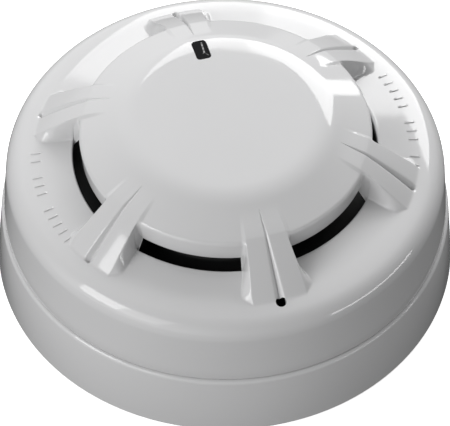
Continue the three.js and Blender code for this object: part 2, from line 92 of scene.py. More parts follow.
SLOT_END_SLACK = 0.12  # degrees
DOME_SKIN_ABOVE, COLLAR_SKIN_ABOVE = 36, 28  # heights that only the pierced skin is above

LENS_RADIUS, LENS_AZIMUTH = 19, 105
LENS_LENGTH, LENS_WIDTH, LENS_CORNER = 5.4, 3.0, 0.65  # a little longer than the CAD's
LENS_GAP = 0.12
LENS_TOP, LENS_DEPTH = 43.72, 2
LENS_EDGE = ((1, 0.1), (0.99, 0.03), (0.965, 0.0))  # the top edge's round: share of outline, depth
PIPE_LENGTH, PIPE_WIDTH, PIPE_BOTTOM = 3.6, 2.2, 23.7
PIPE_CORNER, PIPE_FLARE = 0.6, 0.4
# how often the painted highlight lines on the lens break into beads, and how bright the beads are
HIGHLIGHT_BEADS = 6.5
BEAD_MEAN, BEAD_SWING = 0.65, 0.35
GUIDE_EDGE_HIGHLIGHTS = (  # painted highlights standing for the light guide's edges under the window: (out, across) twice, half width, brightness
    ((2.0, -0.55), (-0.95, -0.42), 0.24, 0.6),
    ((-0.95, -0.45), (-1.9, -1.15), 0.16, 0.25),
    ((-0.85, -0.42), (-1.2, -0.1), 0.2, 0.6),
)

TICK_GROUPS = ((-6, 31), (180, 215))
TICK_PATTERN = (2, 3, 5)
TICK_INNER, TICK_OUTER = 39.1, 41.6
TICK_WIDTH, TICK_PROUD = 0.55, 0.2
TICK_CREST = 0.32  # half the crest's width, as a share of the tick's
TICK_ROOT, TICK_SKIN, TICK_END = -0.3, -0.02, -0.05  # heights against the collar

CHAMBER_RADIUS, CHAMBER_TOP, CHAMBER_WALL = 25.5, 38.5, 1.5
CHAMBER_FILLET, CHAMBER_ROUND = 1, 0.8
AXIS_CLEAR = 0.01
BRIM_RADIUS, BRIM_BOTTOM, BRIM_SKIRT, BRIM_FOOT = 40, 26, 38.5, 19.3
WINDOW_COUNT, WINDOW_WIDTH, WINDOW_BOTTOM, WINDOW_TOP = 12, 4, 29.5, 36

BASE_RADIUS, BASE_TOP_RADIUS, BASE_TOP = 50, 48.6, 15.3  # the top is 0.3 mm above the CAD's
BASE_FLOOR, BASE_WALL, BASE_EDGE = 2.5, 2.3, 1.1
BASE_DRAFT, BASE_EDGE_DRAFT = 1.6, 5
BASE_FOOT_ROUND, BASE_INNER_ROUND, BASE_FLOOR_FILLET = 0.4, 0.3, 1
BASE_INNER_DRAFT = 0.8
BASE_PHASE = 0.7  # degrees: keeps the lathe's columns off the flat sides of what is joined to it
CABLE_HOLE_RADIUS, CABLE_HOLE_TOP_ROUND, CABLE_HOLE_FOOT_ROUND = 15, 0.5, 0.3
SLOT_COUNT, SLOT_RADIUS, SLOT_LENGTH, SLOT_WIDTH = 4, 28.5, 12, 4.4
POST_COUNT, FIRST_POST = 4, 45
POST_RADIUS, POST_SIDE, POST_CORNER, POST_TOP, POST_HOLE = 29, 9, 0.8, 7, 1.8
LEDGE_INNER, LEDGE_BOTTOM, LEDGE_TOP, LEDGE_HALF, STOP_WIDTH = 41, 7.6, 9.8, 9, 2
LEDGE_AZIMUTHS = (-15, 105, 225)
STOP_OVERLAP = 0.2  # degrees
TAB_ROOT_INNER, TAB_ROOT_TOP, TAB_ROOT_FROM, TAB_ROOT_TO = 39.8, 11.4, -104, -97.6
BITE = 0.5  # how far a joined piece reaches into its neighbour


# ---- materials ----

FLOW_SCALE, FLOW_DETAIL = 35, 3
TINT_SPREAD, GLOSS_SPREAD = 0.03, 0.15
GRAIN_DETAIL, GRAIN_DEPTH = 2, 0.0002


def calc(tree, operation, *values):
    """A Math node; each value is a number or another node's output."""
    node = tree.nodes.new("ShaderNodeMath")
    node.operation = operation
    for socket, value in zip(node.inputs, values):
        if isinstance(value, (int, float)):
            socket.default_value = value
        else:
            tree.links.new(value, socket)
    return node.outputs["Value"]


def moulded(name, colour, roughness, bump=0.02, grain=900.0, specular=0.5):
    """Moulded plastic: a faint flow variation in colour and gloss, and a fine surface grain."""
    material = bpy.data.materials.new(name)
    material.use_nodes = True
    nodes, links = material.node_tree.nodes, material.node_tree.links
    shader = nodes["Principled BSDF"]
    place = nodes.new("ShaderNodeTexCoord")
    flow = nodes.new("ShaderNodeTexNoise")
    flow.inputs["Scale"].default_value = FLOW_SCALE
    flow.inputs["Detail"].default_value = FLOW_DETAIL
    links.new(place.outputs["Object"], flow.inputs["Vector"])
    tint = nodes.new("ShaderNodeMapRange")
    tint.inputs["To Min"].default_value = 1 - TINT_SPREAD
    tint.inputs["To Max"].default_value = 1 + TINT_SPREAD
    links.new(flow.outputs["Fac"], tint.inputs["Value"])
    mixed = nodes.new("ShaderNodeVectorMath")
    mixed.operation = "SCALE"
    mixed.inputs[0].default_value = colour
    links.new(tint.outputs["Result"], mixed.inputs["Scale"])
    links.new(mixed.outputs["Vector"], shader.inputs["Base Color"])
    gloss = nodes.new("ShaderNodeMapRange")
    gloss.inputs["To Min"].default_value = roughness * (1 - GLOSS_SPREAD)
    gloss.inputs["To Max"].default_value = roughness * (1 + GLOSS_SPREAD)
    links.new(flow.outputs["Fac"], gloss.inputs["Value"])
    links.new(gloss.outputs["Result"], shader.inputs["Roughness"])
    fine = nodes.new("ShaderNodeTexNoise")
    fine.inputs["Scale"].default_value = grain
    fine.inputs["Detail"].default_value = GRAIN_DETAIL
    links.new(place.outputs["Object"], fine.inputs["Vector"])
    relief = nodes.new("ShaderNodeBump")
    relief.inputs["Strength"].default_value = bump
    relief.inputs["Distance"].default_value = GRAIN_DEPTH
    links.new(fine.outputs["Fac"], relief.inputs["Height"])
    links.new(relief.outputs["Normal"], shader.inputs["Normal"])
    shader.inputs["Specular IOR Level"].default_value = specular
    return material


def metal(name, colour, roughness):
    """Rolled or plated metal, with a fine grain in its surface and a faint flow in its gloss."""
    material = moulded(name, colour, roughness, bump=0.05, grain=1600)
    material.node_tree.nodes["Principled BSDF"].inputs["Metallic"].default_value = 1
    return material


def smoked(name, colour, roughness):
    """Smoked plastic with painted highlights: broken white lines mixed into its colour stand for glints
    on the edges of the light guide below.
    """
    material = moulded(name, colour, roughness, bump=0.0, specular=0.12)
    tree = material.node_tree
    shader = tree.nodes["Principled BSDF"]
    place = tree.nodes.new("ShaderNodeTexCoord")
    turned = tree.nodes.new("ShaderNodeVectorRotate")
    turned.rotation_type = "Z_AXIS"
    turned.inputs["Angle"].default_value = math.radians(-LENS_AZIMUTH)
    tree.links.new(place.outputs["Object"], turned.inputs["Vector"])
    local = tree.nodes.new("ShaderNodeSeparateXYZ")
    tree.links.new(turned.outputs["Vector"], local.inputs["Vector"])
    out = calc(tree, "SUBTRACT", calc(tree, "DIVIDE", local.outputs["X"], MM), LENS_RADIUS)
    across = calc(tree, "DIVIDE", local.outputs["Y"], MM)
    wave = calc(tree, "SINE", calc(tree, "MULTIPLY", out, HIGHLIGHT_BEADS))
    beads = calc(tree, "MULTIPLY_ADD", wave, BEAD_SWING, BEAD_MEAN)
    total = 0.0
    for start, end, half_width, glow in GUIDE_EDGE_HIGHLIGHTS:
        slope = (end[1] - start[1]) / (end[0] - start[0])
        middle = calc(tree, "MULTIPLY_ADD", calc(tree, "SUBTRACT", out, start[0]), slope, start[1])
        off = calc(tree, "ABSOLUTE", calc(tree, "SUBTRACT", across, middle))
        fall = calc(tree, "SUBTRACT", 1.0, calc(tree, "DIVIDE", off, half_width))
        line = calc(tree, "MAXIMUM", fall, 0.0)
        after = calc(tree, "GREATER_THAN", out, min(start[0], end[0]))
        before = calc(tree, "LESS_THAN", out, max(start[0], end[0]))
        span = calc(tree, "MULTIPLY", calc(tree, "MULTIPLY", after, before), glow)
        total = calc(tree, "MAXIMUM", calc(tree, "MULTIPLY", line, span), total)
    # painted highlight: the guide-edge lines mix the lens's colour towards white
    mix = tree.nodes.new("ShaderNodeMix")
    mix.data_type = "RGBA"
    tree.links.new(calc(tree, "MULTIPLY", total, beads), mix.inputs["Factor"])
    tree.links.new(shader.inputs["Base Color"].links[0].from_socket, mix.inputs["A"])
    mix.inputs["B"].default_value = (1, 1, 1, 1)
    tree.links.new(mix.outputs["Result"], shader.inputs["Base Color"])
    return material


COVER_WHITE = moulded("cover_white", (0.62, 0.62, 0.625), 0.07, bump=0.01)
BASE_WHITE = moulded("base_white", (0.62, 0.62, 0.625), 0.1, bump=0.01)
BACK_WHITE = moulded("back_white", (0.6, 0.6, 0.59), 0.45, bump=0.08)
BLACK = moulded("chamber_black", (0.004, 0.004, 0.0045), 0.6, bump=0.1)
# the dark smoked lens, with painted highlights for the light guide's edges in its colour
LENS = smoked("lens_smoked_painted_highlights", (0.004, 0.004, 0.005), 0.06)
FOAM = moulded("gasket_foam", (0.025, 0.025, 0.027), 0.9, bump=0.6, grain=2500)
BOARD = moulded("board_green", (0.012, 0.1, 0.035), 0.35, bump=0.1)
CHIP = moulded("chip_black", (0.012, 0.012, 0.013), 0.5, bump=0.15)
SLEEVE = moulded("capacitor_sleeve", (0.011, 0.022, 0.1), 0.3)
EPOXY = moulded("dipped_epoxy", (0.042, 0.007, 0.005), 0.25)
CLEAR = moulded("lamp_clear", (0.7, 0.8, 0.74), 0.08)
TIN = metal("tinned_wire", (0.5, 0.51, 0.53), 0.3)
NICKEL = metal("nickel_plate", (0.58, 0.57, 0.54), 0.25)
BRASS = metal("rolled_brass", (0.58, 0.38, 0.09), 0.28)


# ---- helpers ----

def smooth(t):
    t = np.clip(t, 0, 1)
    return t * t * (3 - 2 * t)


def finish_piece(obj, material, sharp=35):
    """Gives a piece its material, with smooth faces and sharp creases."""
    obj.data.materials.clear()
    obj.data.materials.append(material)
    obj.data.polygons.foreach_set("use_smooth", [True] * len(obj.data.polygons))
    obj.data.set_sharp_from_angle(angle=math.radians(sharp))
    return obj


def new_object(name, vertices, faces):
    mesh = bpy.data.meshes.new(name)
    mesh.from_pydata([tuple(np.array(v) * MM) for v in vertices], [], faces)
    mesh.update()
    obj = bpy.data.objects.new(name, mesh)
    bpy.context.scene.collection.objects.link(obj)
    return obj


def face_outwards(obj):
    """Turns a mesh's faces so that they all look the same way as its topmost one, which looks up."""
    shape = bmesh.new()
    shape.from_mesh(obj.data)
    bmesh.ops.recalc_face_normals(shape, faces=shape.faces)
    top = max(shape.faces, key=lambda face: face.calc_center_median().z)
    if top.normal.z < 0:
        bmesh.ops.reverse_faces(shape, faces=shape.faces)
    shape.to_mesh(obj.data)
    shape.free()


def baked(obj):
    """Applies an object's modifiers to its mesh."""
    graph = bpy.context.evaluated_depsgraph_get()
    mesh = bpy.data.meshes.new_from_object(obj.evaluated_get(graph))
    obj.modifiers.clear()
    obj.data = mesh


def combined(obj, operation, others):
    """Joins the others to obj (UNION) or cuts them out of it (DIFFERENCE), and removes them."""
    for other in others:
        step = obj.modifiers.new("combine", "BOOLEAN")
        step.operation = operation
        step.solver = "EXACT"
        step.object = other
    baked(obj)
    for other in others:
        bpy.data.objects.remove(other)


PUNCH_REACH = 1.3  # how far from a hole's middle faces are split, as a share of its size
PUNCH_MERGE = 1e-7


def punched(obj, outline, above):
    """Cuts a convex hole, given by its (x, y) outline, down through a thin skin above a height."""
    shape = bmesh.new()
    shape.from_mesh(obj.data)
    outline = [Vector((x * MM, y * MM, 0)) for x, y in outline]
    middle = sum(outline, Vector()) / len(outline)
    reach = PUNCH_REACH * max((p - middle).length for p in outline)

    def near(face):
        centre = face.calc_center_median()
        return centre.z > above * MM and (centre.xy - middle.xy).length < reach

    sides = [(p, Vector((q.y - p.y, p.x - q.x, 0)).normalized())
             for p, q in zip(outline, outline[1:] + outline[:1])]
    for point, outward in sides:
        local = [face for face in shape.faces if near(face)]
        edges = {edge for face in local for edge in face.edges}
        corners = {vertex for face in local for vertex in face.verts}
        bmesh.ops.bisect_plane(shape, geom=local + list(edges) + list(corners), dist=PUNCH_MERGE,
                               plane_co=point, plane_no=outward)
    inside = [face for face in shape.faces if near(face) and all(
        (face.calc_center_median() - point).xy.dot(outward.xy) < 0 for point, outward in sides)]
    bmesh.ops.delete(shape, geom=inside, context="FACES")
    shape.to_mesh(obj.data)
    shape.free()


def turned_mesh(profile, sides, first=0.0):
    """Vertices and faces of a closed (r, z) loop turned about Z, from a first azimuth in degrees."""
    count = len(profile)
    vertices = []
    for k in range(sides):
        a = 2 * math.pi * k / sides + math.radians(first)
        vertices += [(r * math.cos(a), r * math.sin(a), z) for r, z in profile]
    faces = []
    for k in range(sides):
        here, there = k * count, (k + 1) % sides * count
        for i in range(count):
            j = (i + 1) % count
            faces.append((here + i, there + i, there + j, here + j))
    return vertices, faces


def arc(centre, radius, start, end, steps):
    """(r, z) points on an arc; angles in degrees from +r towards +Z."""
    angles = np.radians(np.linspace(start, end, steps + 1))
    return [(centre[0] + radius * math.cos(a), centre[1] + radius * math.sin(a)) for a in angles]


def rounded_bar_outline(length, width, corner, steps=8):
    points = []
    for sx, sy, start in ((1, 1, 0), (-1, 1, 90), (-1, -1, 180), (1, -1, 270)):
        centre = (sx * (length / 2 - corner), sy * (width / 2 - corner))
        points += arc(centre, corner, start, start + 90, steps)
    return points


def placed_outline(outline, out, azimuth):
    """An outline moved out along X and then turned about Z."""
    a = math.radians(azimuth)
    return [((x + out) * math.cos(a) - y * math.sin(a), (x + out) * math.sin(a) + y * math.cos(a))
            for x, y in outline]


def prism(name, outline, bottom, top, out=0, azimuth=0):
    """A straight prism over an outline, moved out along X and then turned about Z."""
    placed = placed_outline(outline, out, azimuth)
    count = len(placed)
    vertices = [(x, y, bottom) for x, y in placed] + [(x, y, top) for x, y in placed]
    faces = [tuple(range(count))[::-1], tuple(range(count, 2 * count))]
    faces += [(i, (i + 1) % count, count + (i + 1) % count, count + i) for i in range(count)]
    obj = new_object(name, vertices, faces)
    face_outwards(obj)
    return obj


def sector_outline(inner, outer, start, end, step=2):
    """A piece of a ring between two azimuths, in degrees."""
    count = max(2, round((end - start) / step))
    return arc((0, 0), outer, start, end, count) + arc((0, 0), inner, end, start, count)


def circle_outline(radius, sides=40):
    return [(radius * math.cos(a), radius * math.sin(a))
            for a in np.linspace(0, 2 * math.pi, sides, endpoint=False)]


# ---- the cover's surface ----

def centre_from(point, radius, tilt):
    """The centre of a round through a point where its surface is tilted outwards by an angle."""
    lean = math.radians(tilt)
    return (point[0] - radius * math.sin(lean), point[1] - radius * math.cos(lean))


PLATEAU_TILT = math.degrees(math.atan(2 * (DOME_TOP - PLATEAU_Z) / PLATEAU_RADIUS))
BEND_CENTRE = centre_from((PLATEAU_RADIUS, PLATEAU_Z), DOME_CURVE, PLATEAU_TILT)
BEND_END = arc(BEND_CENTRE, DOME_CURVE, 90 - DOME_SLOPE, 90 - DOME_SLOPE, 1)[0]


def dome_z(r):
    """Height of the dome: a barely crowned plateau, a bend, and a straight cone out to the edge."""
    if r <= PLATEAU_RADIUS:
        return DOME_TOP - (DOME_TOP - PLATEAU_Z) * (r / PLATEAU_RADIUS) ** 2
    if r <= BEND_END[0]:
        return BEND_CENTRE[1] + math.sqrt(DOME_CURVE ** 2 - (r - BEND_CENTRE[0]) ** 2)
    return BEND_END[1] - (r - BEND_END[0]) * math.tan(math.radians(DOME_SLOPE))


def cone_z(r):
    """Height of the collar's cone."""
    return COLLAR_Z - (r - LIP_RADIUS) * math.tan(math.radians(COLLAR_TILT))


CROWN_CENTRE = centre_from((COLLAR_END, cone_z(COLLAR_END)), CROWN_ROUND, COLLAR_TILT)
CROWN_END = arc(CROWN_CENTRE, CROWN_ROUND, 90 - CROWN_TILT, 90 - CROWN_TILT, 1)[0]
SHOULDER_CENTRE = centre_from(CROWN_END, SHOULDER_ROUND, CROWN_TILT)


def collar_z(r):
    """Height of the coned collar, its crown and the shoulder's round, out to the skirt."""
    if r <= COLLAR_END:
        return cone_z(r)
    if r <= CROWN_END[0]:
        return CROWN_CENTRE[1] + math.sqrt(CROWN_ROUND ** 2 - (r - CROWN_CENTRE[0]) ** 2)
    out = min(SHOULDER_ROUND, r - SHOULDER_CENTRE[0])
    return SHOULDER_CENTRE[1] + math.sqrt(SHOULDER_ROUND ** 2 - out ** 2)


def rib_top_z(r):
    """Height of a rib's top: proud of the dome's edge, then a slightly crowned slope."""
    if r <= DOME_END:
        return dome_z(r) + RIB_LIFT * float(smooth((r - RIB_START) / (DOME_END - RIB_START)))
    share = (r - DOME_END) / (RIB_END - DOME_END)
    start = dome_z(DOME_END) + RIB_LIFT
    line = start + share * (RIB_END_Z - start) + RIB_BULGE * 4 * share * max(0.0, 1 - share)
    floor = collar_z(r)
    return 0.5 * (line + floor + math.hypot(line - floor, RIB_BLEND)) - RIB_SINK


def straight(start, end, steps):
    """(r, z) points on a line, without its first one."""
    return list(zip(np.linspace(start[0], end[0], steps + 1)[1:],
                    np.linspace(start[1], end[1], steps + 1)[1:]))


def cover_rows():
    """Rows from the axis out: (r, z) between ribs, (r, z) on a rib, and the slot's row number."""
    dome = [(r, dome_z(r)) for r in np.linspace(DOME_FIRST_RING, PLATEAU_RADIUS, 14)]
    dome += [(r, dome_z(r)) for r in np.linspace(PLATEAU_RADIUS, DOME_END, 28)[1:]]
    corner = centre_from((DOME_END, dome_z(DOME_END)), RIM_ROUND, DOME_SLOPE)
    rim = arc(corner, RIM_ROUND, 90 - DOME_SLOPE, -3, 8)[1:]
    wall = straight(rim[-1], RIM_BOTTOM, 5)
    curl = arc((RIM_BOTTOM[0] - SLOT_EDGE_ROUND, RIM_BOTTOM[1]), SLOT_EDGE_ROUND, -20, -80, 3)
    lip = [(LIP_RADIUS, COLLAR_Z - LIP_DEPTH), (LIP_RADIUS, COLLAR_Z - 0.4)]
    lip += arc((LIP_RADIUS + SLOT_EDGE_ROUND, COLLAR_Z - SLOT_EDGE_ROUND), SLOT_EDGE_ROUND, 170, 90, 4)
    collar = [(r, cone_z(r)) for r in np.linspace(COLLAR_START, COLLAR_END, 18)]
    collar += arc(CROWN_CENTRE, CROWN_ROUND, 90 - COLLAR_TILT, 90 - CROWN_TILT, 12)[1:]
    shoulder = arc(SHOULDER_CENTRE, SHOULDER_ROUND, 90 - CROWN_TILT, SKIRT_DRAFT, 22)[1:]
    edge_z = SKIRT_BOTTOM + SKIRT_EDGE
    skirt = straight(shoulder[-1], (SKIRT_BOTTOM_RADIUS, edge_z), 5)
    skirt += arc((SKIRT_BOTTOM_RADIUS - SKIRT_EDGE, edge_z), SKIRT_EDGE, 0, -90, 4)[1:]
    inner = dome + rim + wall + curl
    outer = lip + collar + shoulder + skirt
    between = inner + outer
    first, last = len(dome), len(inner) + len(lip)
    ridge = []
    for i, (r, z) in enumerate(between):
        if i < first:
            ridge.append((r, rib_top_z(r)))
        elif i < last:
            start, end = between[first - 1][0], between[last][0]
            along = start + (end - start) * (i - first + 1) / (last - first + 1)
            ridge.append((along, rib_top_z(along)))
        elif r < RIB_END + RIB_TOE:
            ridge.append((r, max(z, rib_top_z(r))))
        else:
            ridge.append((r, z))
    return between, ridge, len(inner)


def column_angles():
    """Azimuths about one rib, dense over its groove and its side walls."""
    half = [angle for run in COLUMN_RUNS for angle in np.arange(*run)]
    return [-a for a in half[:0:-1]] + half


def wall_share(t):
    """A rib's side from its foot (0) to its top edge (1): a fillet, a straight draft, a tight round."""
    gain = 1 / (1 - SIDE_FILLET / 2 - SIDE_ROUND / 2)
    t = min(max(t, 0.0), 1.0)
    if t < SIDE_FILLET:
        return gain * t * t / (2 * SIDE_FILLET)
    if t < 1 - SIDE_ROUND:
        return gain * (t - SIDE_FILLET / 2)
    return 1 - gain * (1 - t) ** 2 / (2 * SIDE_ROUND)


def foot_angle(r):
    """The rib's foot spreads over the collar and closes quickly at its outer end."""
    spread = FOOT_SPREAD * float(smooth((r - SPREAD_START) / SPREAD_LENGTH))
    closing = FOOT_CLOSING * float(smooth((r - CLOSING_START) / CLOSING_LENGTH))
    return RIB_FOOT_ANGLE + (spread - closing)


def groove_depth(r, angle):
    """Depth of a rib's groove, which widens outwards and has rounded lips."""
    if not GROOVE_START < r < GROOVE_END + GROOVE_FADE:
        return 0.0
    share = min(1.0, (r - GROOVE_START) / (GROOVE_END - GROOVE_START))
    fade = 1 - float(smooth((r - GROOVE_END + GROOVE_FADE) / (2 * GROOVE_FADE)))
    half_width = GROOVE_HALF_WIDTH * share + 1e-6
    inside = 1 - abs(r * math.sin(math.radians(angle))) / half_width
    if inside < -1:
        return 0.0
    rounded = 0.5 * (inside + math.hypot(inside, GROOVE_LIP / half_width * min(1.0, 1 + inside)))
    return GROOVE_DEPTH * share * fade * rounded


def build_cover():
    """The white cover: one skin over the ribs, the dome and the skirt, pierced and thickened."""
    between, ridge, slot_row = cover_rows()
    local = column_angles()
    columns = [(FIRST_RIB + 360 / RIB_COUNT * k, a) for k in range(RIB_COUNT) for a in local]
    rows = len(between)
    vertices = [(0, 0, DOME_TOP)]
    for centre, angle in columns:
        turn = math.radians(centre + angle)
        for (br, bz), (rr, rz) in zip(between, ridge):
            foot = foot_angle(rr)
            share = wall_share((foot - abs(angle)) / (foot - RIB_HALF_ANGLE))
            r = br + share * (rr - br)
            z = bz + share * (rz - bz)
            if share > 0.99:
                z -= groove_depth(rr, angle)
            vertices.append((r * math.cos(turn), r * math.sin(turn), z))
    faces = []
    for k, (_, angle) in enumerate(columns):
        following = (k + 1) % len(columns)
        here, there = 1 + k * rows, 1 + following * rows
        faces.append((0, here, there))
        open_slot = min(abs(angle), abs(columns[following][1])) >= RIB_FOOT_ANGLE - SLOT_END_SLACK
        for i in range(rows - 1):
            if i == slot_row - 1 and open_slot:
                continue
            faces.append((here + i, here + i + 1, there + i + 1, there + i))
    cover = new_object("cover_moulding", vertices, faces)
    face_outwards(cover)
    window = rounded_bar_outline(LENS_LENGTH + 2 * LENS_GAP, LENS_WIDTH + 2 * LENS_GAP,
                                 LENS_CORNER + LENS_GAP, steps=4)
    punched(cover, placed_outline(window, LENS_RADIUS, LENS_AZIMUTH), DOME_SKIN_ABOVE)
    hole = placed_outline(circle_outline(RELEASE_HOLE_SIZE, 24), RELEASE_HOLE_RADIUS, FIRST_RIB)
    punched(cover, hole, COLLAR_SKIN_ABOVE)
    wall = cover.modifiers.new("wall", "SOLIDIFY")
    wall.thickness = COVER_WALL * MM
    wall.offset = -1
    baked(cover)
    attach(cover, "head")
    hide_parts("cover")
    return finish_piece(cover, COVER_WHITE)


# ---- marks, lens, chamber and base ----

def build_ticks():
    """Plain raised ticks on the collar, in groups of two, three and five."""
    vertices, faces = [], []
    for start, end in TICK_GROUPS:
        total = sum(TICK_PATTERN) + len(TICK_PATTERN) - 1
        place = 0
        for group in TICK_PATTERN:
            for _ in range(group):
                azimuth = start + (end - start) * place / (total - 1)
                add_tick(vertices, faces, math.radians(azimuth))
                place += 1
            place += 1
    ticks = new_object("collar_ticks", vertices, faces)
    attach(ticks, "head")
    return finish_piece(ticks, COVER_WHITE)


def add_tick(vertices, faces, azimuth):
    """One closed bar lying on the collar's surface, with drafted sides and sunk feet."""
    out = Vector((math.cos(azimuth), math.sin(azimuth), 0))
    side = Vector((-out.y, out.x, 0))
    first = len(vertices)
    stations = np.linspace(TICK_INNER, TICK_OUTER, 7)
    for i, r in enumerate(stations):
        ending = i in (0, len(stations) - 1)
        height = TICK_END if ending else TICK_PROUD
        z = collar_z(r)
        half = [(-0.5, TICK_ROOT), (-0.5, TICK_SKIN), (-TICK_CREST, height)]
        for across, lift in half + [(-across, lift) for across, lift in reversed(half)]:
            point = out * float(r) + side * (TICK_WIDTH * across)
            vertices.append((point.x, point.y, z + lift))
    rows = len(stations)
    corners = (len(vertices) - first) // rows
    for i in range(rows - 1):
        for k in range(corners):
            a, b = first + corners * i + k, first + corners * i + (k + 1) % corners
            faces.append((a, b, b + corners, a + corners))
    faces.append(tuple(first + k for k in range(corners))[::-1])
    faces.append(tuple(first + corners * (rows - 1) + k for k in range(corners)))


def build_lens():
    """The flat smoked window set in the dome, narrowing to the light pipe below it."""
    def ring(length, width, corner, height, scale=1):
        outline = rounded_bar_outline(length, width, corner, steps=6)
        scaled = [(x * scale, y * scale) for x, y in outline]
        return [(x, y, height) for x, y in placed_outline(scaled, LENS_RADIUS, LENS_AZIMUTH)]

    under = PLATEAU_Z - LENS_DEPTH
    rings = [
        ring(PIPE_LENGTH, PIPE_WIDTH, PIPE_CORNER, PIPE_BOTTOM),
        ring(PIPE_LENGTH, PIPE_WIDTH, PIPE_CORNER, under - PIPE_FLARE),
        ring(PIPE_LENGTH + 2 * PIPE_FLARE, PIPE_WIDTH + PIPE_FLARE, 0.7, under),
        ring(LENS_LENGTH, LENS_WIDTH, LENS_CORNER, under),
    ]
    for share, depth in LENS_EDGE:
        rings.append(ring(LENS_LENGTH, LENS_WIDTH, LENS_CORNER, LENS_TOP - depth, share))
    count = len(rings[0])
    vertices = [point for one in rings for point in one]
    faces = [tuple(range(count))[::-1], tuple(range(len(vertices) - count, len(vertices)))]
    for i in range(len(rings) - 1):
        for k in range(count):
            a, b = i * count + k, i * count + (k + 1) % count
            faces.append((a, b, b + count, a + count))
    lens = new_object("smoked_window", vertices, faces)
    face_outwards(lens)
    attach(lens, "head")
    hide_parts("indicator_lens")
    return finish_piece(lens, LENS, sharp=15)


def build_chamber():
    """The black cage: a brim under the air slot and a windowed drum round the sensor."""
    fillet, edge = CHAMBER_FILLET, CHAMBER_ROUND
    brim_top = BRIM_BOTTOM + CHAMBER_WALL
    inside, ceiling = CHAMBER_RADIUS - CHAMBER_WALL, CHAMBER_TOP - CHAMBER_WALL
    profile = [(BRIM_SKIRT, BRIM_FOOT), (BRIM_RADIUS, BRIM_FOOT)]
    profile += arc((BRIM_RADIUS - fillet, brim_top - fillet), fillet, 0, 90, 5)
    profile += arc((CHAMBER_RADIUS + fillet, brim_top + fillet), fillet, 270, 180, 5)
    profile += arc((CHAMBER_RADIUS - edge, CHAMBER_TOP - edge), edge, 0, 90, 5)
    profile += [(AXIS_CLEAR, CHAMBER_TOP), (AXIS_CLEAR, ceiling), (inside, ceiling)]
    profile += [(inside, BRIM_BOTTOM), (BRIM_SKIRT, BRIM_BOTTOM)]
    chamber = new_object("sensor_cage", *turned_mesh(profile, 120))
    face_outwards(chamber)
    half = WINDOW_WIDTH / 2
    near, far = CHAMBER_RADIUS - 2 * CHAMBER_WALL, CHAMBER_RADIUS + 2 * CHAMBER_WALL
    outline = [(near, -half), (far, -half), (far, half), (near, half)]
    cutters = []
    for i in range(WINDOW_COUNT):
        azimuth = (i + 0.5) * 360 / WINDOW_COUNT
        cutters.append(prism(f"cage_window_{i}", outline, WINDOW_BOTTOM, WINDOW_TOP, azimuth=azimuth))
    hole = rounded_bar_outline(PIPE_LENGTH + 1, PIPE_WIDTH + 1, 0.8)
    bottom = CHAMBER_TOP - 2 * CHAMBER_WALL
    cutters.append(prism("cage_pipe_hole", hole, bottom, CHAMBER_TOP + 1, LENS_RADIUS, LENS_AZIMUTH))
    combined(chamber, "DIFFERENCE", cutters)
    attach(chamber, "head")
    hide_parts("chamber_cover")
    return finish_piece(chamber, BLACK)


def build_base():
    """The mounting base: a drafted drum with a floor, and inside it the posts, ledges and tab root."""
    inner = BASE_TOP_RADIUS - BASE_WALL
    foot, edge, rim, fillet = BASE_FOOT_ROUND, BASE_EDGE, BASE_INNER_ROUND, BASE_FLOOR_FILLET
    hole_top, hole_foot = CABLE_HOLE_TOP_ROUND, CABLE_HOLE_FOOT_ROUND
    profile = arc((BASE_RADIUS - foot, foot), foot, -90, BASE_DRAFT, 4)
    profile += arc((BASE_TOP_RADIUS - edge, BASE_TOP - edge), edge, BASE_EDGE_DRAFT, 90, 8)
    profile += arc((inner + rim, BASE_TOP - rim), rim, 90, 180, 3)
    profile += arc((inner - BASE_INNER_DRAFT - fillet, BASE_FLOOR + fillet), fillet, 0, -90, 5)
    profile += arc((CABLE_HOLE_RADIUS + hole_top, BASE_FLOOR - hole_top), hole_top, 90, 180, 4)
    profile += arc((CABLE_HOLE_RADIUS + hole_foot, hole_foot), hole_foot, 180, 270, 3)
    base = new_object("base_moulding", *turned_mesh(profile, 180, BASE_PHASE))
    face_outwards(base)
    added = []
    outer, bottom = inner + BITE, BASE_FLOOR - BITE
    for i, azimuth in enumerate(LEDGE_AZIMUTHS):
        low, high = azimuth - LEDGE_HALF, azimuth + LEDGE_HALF
        ledge = sector_outline(LEDGE_INNER, outer, low, high)
        added.append(prism(f"ledge_{i}", ledge, LEDGE_BOTTOM, LEDGE_TOP))
        stop = sector_outline(LEDGE_INNER, outer, low - STOP_WIDTH, low + STOP_OVERLAP)
        added.append(prism(f"stop_{i}", stop, bottom, LEDGE_TOP))
    root = sector_outline(TAB_ROOT_INNER, outer, TAB_ROOT_FROM, TAB_ROOT_TO)
    added.append(prism("tab_root", root, bottom, TAB_ROOT_TOP))
    post = rounded_bar_outline(POST_SIDE, POST_SIDE, POST_CORNER, steps=4)
    post_azimuths = [FIRST_POST + 360 / POST_COUNT * i for i in range(POST_COUNT)]
    for i, azimuth in enumerate(post_azimuths):
        added.append(prism(f"post_{i}", post, bottom, POST_TOP, POST_RADIUS, azimuth))
    combined(base, "UNION", added)
    cutters = []
    slot = rounded_bar_outline(SLOT_LENGTH, SLOT_WIDTH, SLOT_WIDTH / 2 - 0.001, steps=10)
    for i in range(SLOT_COUNT):
        cutters.append(prism(f"slot_{i}", slot, -1, BASE_FLOOR + 1, SLOT_RADIUS, 360 / SLOT_COUNT * i))
    screw_hole = circle_outline(POST_HOLE, 24)
    for i, azimuth in enumerate(post_azimuths):
        cutters.append(prism(f"screw_hole_{i}", screw_hole, BASE_FLOOR + BITE, POST_TOP + 1,
                             POST_RADIUS, azimuth))
    combined(base, "DIFFERENCE", cutters)
    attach(base, "base")
    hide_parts("base_housing")
    return finish_piece(base, BASE_WHITE)


# ---- camera, stage and light ----

